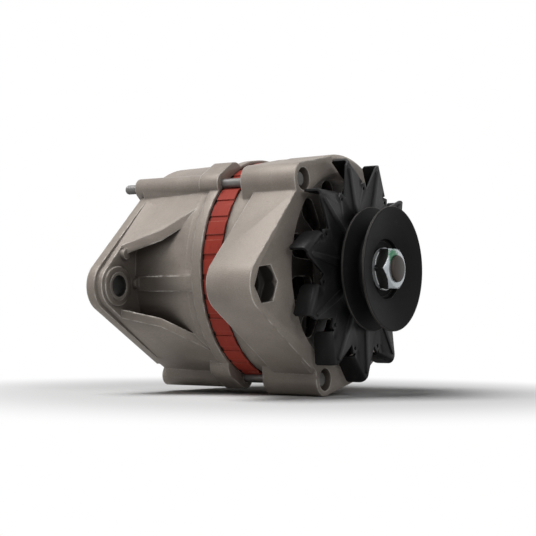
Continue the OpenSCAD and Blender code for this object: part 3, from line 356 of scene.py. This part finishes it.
finishes = {
    "cast_aluminium": ("castAluminium", dict(
        colour=(0.25, 0.216, 0.187), colourTwo=(0.335, 0.295, 0.257), grainColour=(0.13, 0.11, 0.094),
        grainAmount=0.35, speckColour=(0.16, 0.135, 0.115), speckAmount=0.3, streakColour=(0.24, 0.207, 0.18),
        wearAndHighlightColour=(0.66, 0.62, 0.57), edgeRadius=0.0013, edgeGain=12.0, breakUp=150.0,
        # dirt and painted shade in hollows, by ambient occlusion
        dirtAndShadeColour=(0.045, 0.036, 0.03), dirtAndShade=(0.02, 0.42, 0.88), roughness=(0.46, 0.58), metallic=0.25,
        specular=0.3, grainScale=1500.0, blotchScale=55.0, speckScale=380.0, bump=0.45, bumpDepth=0.00018)),
    "red_varnish": ("redVarnish", dict(
        colour=(0.27, 0.031, 0.02), colourTwo=(0.36, 0.049, 0.031), speckColour=(0.2, 0.02, 0.013), speckAmount=0.3,
        streakColour=(0.2, 0.02, 0.013), streakAmount=0.28, streakFineness=1500.0, streakStretch=0.05,
        wearAndHighlightColour=(0.55, 0.2, 0.15), edgeRadius=0.0005, edgeGain=8.0, roughness=(0.5, 0.65), specular=0.15,
        # the red surfaces inside 68.2 mm of the axis are painted near-black shade, and the strip at the stack's rear
        # end is painted shade in the joint with the rear bracket
        grainScale=1100.0, bump=0.4, shadeAndHighlightAreas=[("Radius", (0.0686, 0.0682), (0.02, 0.018, 0.017)),
                                            ("Along", (-0.08435, -0.08455), (0.02, 0.015, 0.013))])),
    "copper": ("varnishedCopper", dict(
        colour=(0.42, 0.16, 0.07), colourTwo=(0.3, 0.1, 0.045), streakColour=(0.12, 0.035, 0.015), streakAmount=0.6,
        roughness=(0.3, 0.45), metallic=0.8, grainScale=700.0, rings=900.0, bump=0.35, coat=0.5)),
    "zinc_steel": ("zincSteel", dict(
        colour=(0.36, 0.36, 0.36), colourTwo=(0.27, 0.27, 0.27), speckColour=(0.14, 0.12, 0.1), speckAmount=0.4,
        wearAndHighlightColour=(0.6, 0.6, 0.61), edgeRadius=0.0003, roughness=(0.3, 0.45), metallic=0.8, grainScale=1300.0,
        bump=0.15)),
    "bearing_steel": ("groundSteel", dict(
        colour=(0.4, 0.395, 0.385), colourTwo=(0.3, 0.29, 0.27), wearAndHighlightColour=(0.65, 0.65, 0.64), edgeRadius=0.0003,
        roughness=(0.3, 0.42), metallic=0.85, rings=1800.0, bump=0.15)),
    "brass": ("pressedBrass", dict(
        colour=(0.55, 0.4, 0.15), colourTwo=(0.42, 0.29, 0.1), roughness=(0.28, 0.42), metallic=0.95, bump=0.1)),
    "sheet_aluminium": ("sheetAluminium", dict(
        colour=(0.4, 0.4, 0.4), colourTwo=(0.33, 0.33, 0.32), streakColour=(0.25, 0.25, 0.24),
        wearAndHighlightColour=(0.6, 0.6, 0.6), edgeRadius=0.0004, roughness=(0.38, 0.5), metallic=0.6, bump=0.15)),
    "shaft_steel": ("shaftSteel", dict(
        colour=(0.034, 0.03, 0.027), colourTwo=(0.055, 0.045, 0.039), wearAndHighlightColour=(0.22, 0.15, 0.115),
        edgeRadius=0.0004, roughness=(0.4, 0.55), metallic=0.5, specular=0.3, rings=1400.0, bump=0.25,
        thread=(-0.0005, 0.0112, 0.0015), threadColour=(0.05, 0.035, 0.027))),
    "pole_iron": ("poleIron", dict(
        colour=(0.1, 0.09, 0.083), colourTwo=(0.15, 0.135, 0.123), wearAndHighlightColour=(0.32, 0.3, 0.28),
        roughness=(0.45, 0.6), metallic=0.5, specular=0.3, bump=0.3)),
    "black_finish": ("blackFinish", dict(
        colour=(0.007, 0.007, 0.0073), colourTwo=(0.0115, 0.0112, 0.0115), speckColour=(0.022, 0.021, 0.021),
        speckAmount=0.3, streakColour=(0.004, 0.004, 0.004), wearAndHighlightColour=(0.05, 0.05, 0.052), edgeRadius=0.0007,
        edgeGain=2.0, breakUp=90.0, roughness=(0.45, 0.58), specular=0.09, grainScale=1200.0, bump=0.3)),
    "dark_plastic": ("darkPlastic", dict(
        colour=(0.014, 0.013, 0.012), colourTwo=(0.022, 0.02, 0.018), wearAndHighlightColour=(0.06, 0.058, 0.055),
        roughness=(0.45, 0.6), specular=0.3)),
    "pale_plastic": ("palePlastic", dict(
        colour=(0.6, 0.55, 0.42), colourTwo=(0.52, 0.47, 0.36), roughness=(0.5, 0.6), bump=0.15)),
    "carbon": ("carbonBlock", dict(
        colour=(0.03, 0.028, 0.027), colourTwo=(0.045, 0.042, 0.04), roughness=(0.5, 0.7), bump=0.3)),
}
# A node that looks unlike the rest of its slot gets its own finish
castLook = finishes["cast_aluminium"][1]
blackLook = finishes["black_finish"][1]
ownFinishes = {
    # Front bracket: the area within 61 mm of the axis is painted shade behind the fan, and the two spots are painted
    # shade inside the ear's hexagonal pocket
    "front_bracket": ("frontCastAluminium", dict(
        castLook, shadeAndHighlightAreas=[("Radius", (0.061, 0.053), (0.035, 0.029, 0.025))],
        spots=[((-0.0365, -0.0871, -0.0117), 0.0135, 0.0008, (0.018, 0.015, 0.013)),
               ((-0.044, -0.0871, -0.0117), 0.0135, 0.0008, (0.018, 0.015, 0.013))])),
    # Rear bracket: the spot is painted shade in the recess round the ear between the gussets
    "rear_bracket": ("rearCastAluminium", dict(
        castLook, spots=[((-0.127, -0.077, -0.0113), 0.030, 0.02, (0.07, 0.059, 0.05))])),
    # Pulley: its brighter edge colour is wear and a painted highlight; the area from 37.4 mm out is a painted
    # highlight on the rim, and the area inside 18.6 mm is painted near-black shade in the nut's recess
    "pulley": ("pulleyBlack", dict(
        blackLook, wearAndHighlightColour=(0.16, 0.15, 0.145), edgeRadius=0.0008, edgeGain=9.0, breakUp=50.0,
        roughness=(0.58, 0.7), shadeAndHighlightAreas=[("Radius", (0.0186, 0.0178), (0.0015, 0.0015, 0.0015)),
                                      ("Radius", (0.0374, 0.0379), (0.03, 0.028, 0.027))])),
    "fan": ("pressedBlack", dict(blackLook, specular=0.16, roughness=(0.38, 0.5))),
    "pivot_sleeve": ("sleeveSteel", dict(
        colour=(0.2, 0.18, 0.16), colourTwo=(0.14, 0.125, 0.11), wearAndHighlightColour=(0.5, 0.48, 0.45), edgeRadius=0.0004,
        # dirt and painted shade inside the sleeve, by ambient occlusion
        dirtAndShadeColour=(0.01, 0.009, 0.008), dirtAndShade=(0.03, 0.62, 0.93), dirtAndShadeAmount=1.0, roughness=(0.4, 0.55),
        metallic=0.3, specular=0.2, bump=0.25)),
    "through_bolts": ("boltSteel", dict(
        colour=(0.2, 0.195, 0.19), colourTwo=(0.14, 0.132, 0.125), speckColour=(0.08, 0.06, 0.05),
        wearAndHighlightColour=(0.4, 0.4, 0.4), edgeRadius=0.0004, roughness=(0.4, 0.55), metallic=0.6, specular=0.3,
        bump=0.3)),
    # Nut: its bright edges are wear and a painted highlight along the chamfers, and its flats carry a painted
    # reflection of the dark recess; the green dab is marking paint
    "pulley_nut": ("brightZinc", dict(
        colour=(0.5, 0.53, 0.55), colourTwo=(0.36, 0.39, 0.41), speckColour=(0.2, 0.22, 0.23), speckAmount=0.35,
        sideReflectionColour=(0.1, 0.098, 0.096), wearAndHighlightColour=(0.85, 0.88, 0.9), edgeRadius=0.0009, edgeGain=14.0,
        breakUp=700.0, roughness=(0.2, 0.38), metallic=0.75,
        paint=dict(place=(0.0094, -0.0042, 0.0062), reach=0.0078, core=0.00585, ragged=0.003, cover=0.95,
                   colour=(0.03, 0.17, 0.08)))),
    # Washer: the part inside 12.4 mm of the axis, under the nut, is painted near-black shade
    "spring_washer": ("brightWasher", dict(
        colour=(0.75, 0.77, 0.78), colourTwo=(0.5, 0.52, 0.53), wearAndHighlightColour=(0.9, 0.92, 0.93), edgeRadius=0.0003,
        roughness=(0.25, 0.4), metallic=0.2, bump=0.15,
        shadeAndHighlightAreas=[("Radius", (0.01255, 0.01235), (0.02, 0.02, 0.021))])),
}
shownFinish = {}
materials = {slot: makeFinish(name, look) for slot, (name, look) in finishes.items()}
for nodeName, piece in nodes.items():
    shownFinish[nodeName] = (makeFinish(*ownFinishes[nodeName]) if nodeName in ownFinishes
                             else materials[slotOf[nodeName]])
    piece.data.materials.clear()
    piece.data.materials.append(shownFinish[nodeName])
print("finishes made and assigned")


# Object helpers
def selectOnly(piece):
    bpy.ops.object.select_all(action="DESELECT")
    piece.select_set(True)
    bpy.context.view_layer.objects.active = piece


def addPiece(name, mesh):
    piece = bpy.data.objects.new(name, mesh)
    bpy.context.scene.collection.objects.link(piece)
    selectOnly(piece)
    return piece


# A new piece takes the node's finish, rides with its body and may stand for the node
def finishPiece(piece, nodeName, body, smoothAngle, stands=True):
    piece.data.materials.clear()
    piece.data.materials.append(shownFinish[nodeName])
    selectOnly(piece)
    bpy.ops.object.shade_smooth_by_angle(angle=math.radians(smoothAngle))
    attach(piece, body)
    if stands:
        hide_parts(nodeName)
    print(piece.name, "made:", len(piece.data.polygons), "faces,", openEdges(piece), "open edges")


def openEdges(piece):
    mesh = bmesh.new()
    mesh.from_mesh(piece.data)
    count = sum(1 for edge in mesh.edges if len(edge.link_faces) != 2)
    mesh.free()
    return count


# Oval hollows pressed in the fan's sheet, one to each blade: the tips of eleven flat balls, cut away
ovalLook = dict(count=11, firstAngle=96.5, face=-0.0124, radius=0.0535, halfLong=0.0058, halfWide=0.0037,
                lift=0.0016, depth=0.0007, segments=24, rings=16)


def pressOvals(piece, look):
    bpy.ops.object.select_all(action="DESELECT")
    bpy.ops.mesh.primitive_uv_sphere_add(segments=look["segments"], ring_count=look["rings"], radius=1,
                                         location=(0, 0, 0))
    oval = bpy.context.object
    oval.scale = (look["lift"] + look["depth"], look["halfLong"], look["halfWide"])
    oval.location = (look["face"] + look["lift"], look["radius"], 0)
    bpy.ops.object.transform_apply(location=True, rotation=True, scale=True)
    for index in range(1, look["count"]):
        cutter = bpy.data.objects.new("ovalCutter", oval.data.copy())
        bpy.context.scene.collection.objects.link(cutter)
        cutter.data.transform(Matrix.Rotation(2 * math.pi * index / look["count"], 4, "X"))
        cutter.select_set(True)
    bpy.ops.object.join()
    oval.data.transform(Matrix.Rotation(math.radians(look["firstAngle"]), 4, "X"))
    pressing = piece.modifiers.new("pressedOvals", "BOOLEAN")
    pressing.operation = "DIFFERENCE"
    pressing.solver = "EXACT"
    pressing.object = oval
    selectOnly(piece)
    bpy.ops.object.modifier_apply(modifier=pressing.name)
    bpy.data.objects.remove(oval)


# Softened copies: a node's own faces, merged, with the hard edges rounded off
mergeLook = dict(gap=0.000002, flatAngle=0.3, smooth=30)
softCopies = {
    "front_bracket": dict(piece="frontCasting", body="housing", width=0.0006, segments=2, angle=34),
    "rear_bracket": dict(piece="rearCasting", body="housing", width=0.0006, segments=2, angle=34),
    "fan": dict(piece="pressedFan", body="rotor", width=0.0003, segments=2, angle=40, ovals=ovalLook),
    "pulley_nut": dict(piece="chamferedNut", body="rotor", width=0.00025, segments=3, angle=20),
    "pivot_sleeve": dict(piece="rolledSleeve", body="sliding_sleeve", width=0.0004, segments=3, angle=40),
    "rotor_shaft": dict(piece="chamferedShaft", body="rotor", width=0.0002, segments=2, angle=40,
                        endPlace=0.0116, endChamfer=0.0009),
}


def makeSoftCopy(nodeName, look):
    piece = addPiece(look["piece"], nodes[nodeName].data.copy())
    bpy.ops.object.mode_set(mode="EDIT")
    bpy.ops.mesh.select_all(action="SELECT")
    bpy.ops.mesh.remove_doubles(threshold=mergeLook["gap"])
    bpy.ops.mesh.dissolve_limited(angle_limit=math.radians(mergeLook["flatAngle"]))
    if "endPlace" in look:  # a broad chamfer on the end that stands out of the nut
        bpy.ops.mesh.select_all(action="DESELECT")
        mesh = bmesh.from_edit_mesh(piece.data)
        for edge in mesh.edges:
            edge.select = all(vert.co.x > look["endPlace"] for vert in edge.verts)
        bmesh.update_edit_mesh(piece.data)
        bpy.ops.mesh.bevel(offset=look["endChamfer"], segments=1)
    bpy.ops.object.mode_set(mode="OBJECT")
    if "ovals" in look:
        pressOvals(piece, look["ovals"])
    rounding = piece.modifiers.new("roundedEdges", "BEVEL")
    rounding.width = look["width"]
    rounding.segments = look["segments"]
    rounding.limit_method = "ANGLE"
    rounding.angle_limit = math.radians(look["angle"])
    rounding.use_clamp_overlap = True
    bpy.ops.object.modifier_apply(modifier=rounding.name)
    finishPiece(piece, nodeName, look["body"], mergeLook["smooth"])


for nodeName, look in softCopies.items():
    makeSoftCopy(nodeName, look)


# Spin an outline of (x, radius) points round the shaft axis
latheGap = 0.00001


def lathe(name, outline, steps, closed=False):
    mesh = bpy.data.meshes.new(name)
    edges = [(i, i + 1) for i in range(len(outline) - 1)] + ([(len(outline) - 1, 0)] if closed else [])
    mesh.from_pydata([(x, 0.0, r) for x, r in outline], edges, [])
    piece = addPiece(name, mesh)
    bpy.ops.object.mode_set(mode="EDIT")
    bpy.ops.mesh.select_all(action="SELECT")
    bpy.ops.mesh.spin(steps=steps, angle=2 * math.pi, center=(0, 0, 0), axis=(1, 0, 0))
    bpy.ops.mesh.select_all(action="SELECT")
    bpy.ops.mesh.remove_doubles(threshold=latheGap)
    bpy.ops.mesh.normals_make_consistent(inside=False)
    bpy.ops.object.mode_set(mode="OBJECT")
    return piece


# Pulley: lathed, its front flange a dished sheet that follows the groove's side down to the nut's seat
pulleyLook = dict(
    bore=0.00853, hub=0.014, back=-0.0124, halfWidth=0.0078, rim=0.038, edge=0.0005, edgeMiddle=0.3, lip=0.0002,
    grooveHalf=0.0064, grooveDepth=0.013, grooveAngle=36.0, footOut=0.0003, footIn=0.0006, footRise=0.0008,
    rimFlat=0.0012, rimFold=0.0018, dishRadius=0.0184, dishDepth=0.0050, dishRound=0.0006, seat=-0.0006,
    seatRadius=0.0174, seatRise=0.0006, seatOut=0.0003, seatIn=0.0004, steps=144, smooth=24)


def makePulley(look):
    back, bore, hub, half, rim, edge, lip, dishRadius, seat, seatRadius = (look[name] for name in (
        "back", "bore", "hub", "halfWidth", "rim", "edge", "lip", "dishRadius", "seat", "seatRadius"))
    footRadius = rim - look["grooveDepth"]
    footHalf = look["grooveHalf"] - look["grooveDepth"] * math.tan(math.radians(look["grooveAngle"] / 2))
    dish = half - look["dishDepth"]
    middle = edge * look["edgeMiddle"]
    groove = [(look["grooveHalf"] + lip, rim), (look["grooveHalf"], rim - lip),
              (footHalf + look["footOut"], footRadius + look["footRise"]), (footHalf - look["footIn"], footRadius)]
    outline = [(back, bore), (back, hub - edge), (back + edge, hub), (-half - edge, hub), (-half, hub + edge),
               (-half, rim - edge), (-half + middle, rim - middle), (-half + edge, rim)]
    outline += [(-x, r) for x, r in groove] + groove[::-1]
    outline += [(half - edge, rim), (half - middle, rim - middle), (half, rim - edge), (half, rim - look["rimFlat"]),
                (half - lip, rim - look["rimFold"]), (dish + lip, dishRadius + look["dishRound"]),
                (dish - lip, dishRadius), (seat + look["seatRise"], seatRadius + look["seatOut"]),
                (seat, seatRadius - look["seatIn"]), (seat, bore)]
    pulley = lathe("turnedPulley", outline, look["steps"], True)
    finishPiece(pulley, "pulley", "rotor", look["smooth"])


makePulley(pulleyLook)


# Brush springs: a wire wound up from a small circle
springLook = dict(coil=0.0019, wire=0.0003, wireSides=8, turns=7, steps=18, stroke=0.005, slack=0.004, smooth=50)


def makeBrushSpring(nodeName, pieceName, look):
    low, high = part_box(nodeName)
    reach = high[2] - low[2] - 2 * look["wire"]
    bpy.ops.object.select_all(action="DESELECT")
    bpy.ops.mesh.primitive_circle_add(vertices=look["wireSides"], radius=look["wire"],
                                      location=(look["coil"], 0, 0), rotation=(math.pi / 2, 0, 0))
    coil = bpy.context.object
    coil.name = pieceName
    bpy.ops.object.transform_apply(location=True, rotation=True, scale=True)
    winding = coil.modifiers.new("winding", "SCREW")
    winding.axis = "Z"
    winding.screw_offset = reach / look["turns"]
    winding.iterations = look["turns"]
    winding.steps = winding.render_steps = look["steps"]
    bpy.ops.object.modifier_apply(modifier=winding.name)
    bpy.ops.object.mode_set(mode="EDIT")
    bpy.ops.mesh.select_all(action="SELECT")
    bpy.ops.mesh.fill_holes(sides=look["wireSides"])
    bpy.ops.mesh.select_all(action="SELECT")
    bpy.ops.mesh.normals_make_consistent(inside=False)
    bpy.ops.object.mode_set(mode="OBJECT")
    coil.location = ((low[0] + high[0]) / 2, (low[1] + high[1]) / 2, low[2] + look["wire"])
    bpy.ops.object.transform_apply(location=True, rotation=False, scale=False)
    finishPiece(coil, nodeName, "housing", look["smooth"])
    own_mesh(coil)


makeBrushSpring("front_brush_spring", "frontBrushSpring", springLook)
makeBrushSpring("rear_brush_spring", "rearBrushSpring", springLook)


# Washer face under the nut's flats: a thin bright ring
ringLook = dict(low=0.0010, high=0.0018, inner=0.0124, outer=0.0130, edge=0.0002, steps=72, smooth=25)


def makeNutRing(look):
    low, high, inner, outer, edge = (look[name] for name in ("low", "high", "inner", "outer", "edge"))
    outline = [(low, inner), (low, outer - edge), (low + edge, outer), (high - edge, outer), (high, outer - edge),
               (high, inner)]
    ring = lathe("nutFaceRing", outline, look["steps"], True)
    finishPiece(ring, "spring_washer", "rotor", look["smooth"], stands=False)


makeNutRing(ringLook)


# Through bolts: lathed in one piece with their threads, from the head's outer end to the tail
boltLook = dict(circle=0.0706, angles=(12.3, 132.3, 252.3), longBolt=1, shank=0.003, root=0.0026, head=0.0045,
                headLength=0.0036, edge=0.0007, tailEdge=0.0005, pitch=0.001, threadLength=0.011, steps=28,
                smooth=25)


def makeBolt(index, shortEnd, look):
    low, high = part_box("through_bolts")
    headEnd = high[0]
    seat = headEnd - look["headLength"]
    tail = low[0] if index == look["longBolt"] else shortEnd
    outline = [(headEnd, 0.0), (headEnd, look["head"] - look["edge"]), (headEnd - look["edge"], look["head"]),
               (seat, look["head"]), (seat, look["shank"])]
    count = int(look["threadLength"] / look["pitch"])
    start = tail + look["tailEdge"] + count * look["pitch"]
    for turn in range(count):
        x = start - turn * look["pitch"]
        outline += [(x, look["shank"]), (x - look["pitch"] * 0.5, look["root"])]
    outline += [(tail + look["tailEdge"], look["root"]), (tail, look["root"] - look["tailEdge"]), (tail, 0.0)]
    bolt = lathe("throughBolt%d" % (index + 1), outline, look["steps"])
    angle = math.radians(look["angles"][index])
    bolt.location = (0, look["circle"] * math.cos(angle), look["circle"] * math.sin(angle))
    bpy.ops.object.transform_apply(location=True, rotation=False, scale=False)
    finishPiece(bolt, "through_bolts", "housing", look["smooth"])


shortBoltEnd = min(vert.co.x for vert in nodes["through_bolts"].data.vertices if vert.co.y > 0)
for boltIndex in range(len(boltLook["angles"])):
    makeBolt(boltIndex, shortBoltEnd, boltLook)


# Floor, world and lamps
stageLook = dict(size=6.0, middle=-0.08, drop=0.0004, tone=0.68, roughness=0.9, nearRadius=0.12, farRadius=0.3)
worldLook = dict(soft=0.065)
lampLooks = {
    "topLamp": dict(place=(-0.3, -0.44, 1.05), aim=(-0.07, 0, 0), size=0.7, power=14.5),
    "sideLamp": dict(place=(0.9, -0.5, 0.5), aim=(-0.03, 0, 0), size=0.45, power=3.0),
}


def backdropRays(tree):  # the camera, and what metal and glass show
    path = addNode(tree, "ShaderNodeLightPath").outputs
    seen = mathNode(tree, "MAXIMUM", path["Is Camera Ray"], path["Is Glossy Ray"])
    return mathNode(tree, "MAXIMUM", seen, path["Is Transmission Ray"])


# A pale floor that keeps the shadow near the object and is plain white further out
def makeFloor(look):
    bpy.ops.object.select_all(action="DESELECT")
    bpy.ops.mesh.primitive_plane_add(size=look["size"], location=(look["middle"], 0, cadLow.z - look["drop"]))
    floor = bpy.context.object
    floor.name = "paleFloor"
    material = bpy.data.materials.new("paleFloor")
    material.use_nodes = True
    tree = material.node_tree
    shader = tree.nodes["Principled BSDF"]
    shader.inputs["Base Color"].default_value = (look["tone"], look["tone"], look["tone"], 1)
    shader.inputs["Roughness"].default_value = look["roughness"]
    shader.inputs["Specular IOR Level"].default_value = 0.0
    reach = addNode(tree, "ShaderNodeVectorMath", {0: objectCoords(tree)}, operation="LENGTH").outputs["Value"]
    far = addNode(tree, "ShaderNodeMapRange", {0: reach, 1: look["nearRadius"], 2: look["farRadius"]},
                  interpolation_type="SMOOTHSTEP").outputs[0]
    white = addNode(tree, "ShaderNodeEmission", {"Color": (1, 1, 1, 1), "Strength": 1.0})
    share = mathNode(tree, "MULTIPLY", far, backdropRays(tree))
    mix = addNode(tree, "ShaderNodeMixShader", {0: share, 1: shader.outputs[0], 2: white.outputs[0]})
    tree.links.new(mix.outputs[0], tree.nodes["Material Output"].inputs["Surface"])
    floor.data.materials.append(material)


def makeWorld(look):
    world = bpy.data.worlds.new("studio")
    bpy.context.scene.world = world
    world.use_nodes = True
    tree = world.node_tree
    background = tree.nodes["Background"]
    strength = addNode(tree, "ShaderNodeMapRange", {0: backdropRays(tree), 3: look["soft"], 4: 1.0}).outputs[0]
    background.inputs["Color"].default_value = (1, 1, 1, 1)
    tree.links.new(strength, background.inputs["Strength"])


def makeLamp(name, look):
    lamp = bpy.data.objects.new(name, bpy.data.lights.new(name, "AREA"))
    bpy.context.scene.collection.objects.link(lamp)
    lamp.data.size = look["size"]
    lamp.data.energy = look["power"]
    place = Vector(look["place"])
    turn = (Vector(look["aim"]) - place).to_track_quat("-Z", "Y").to_matrix().to_4x4()
    lamp.matrix_world = Matrix.Translation(place) @ turn


makeFloor(stageLook)
makeWorld(worldLook)
for lampName, lampLook in lampLooks.items():
    makeLamp(lampName, lampLook)
bpy.context.scene.view_settings.view_transform = "Standard"
print("floor, world and lamps placed")
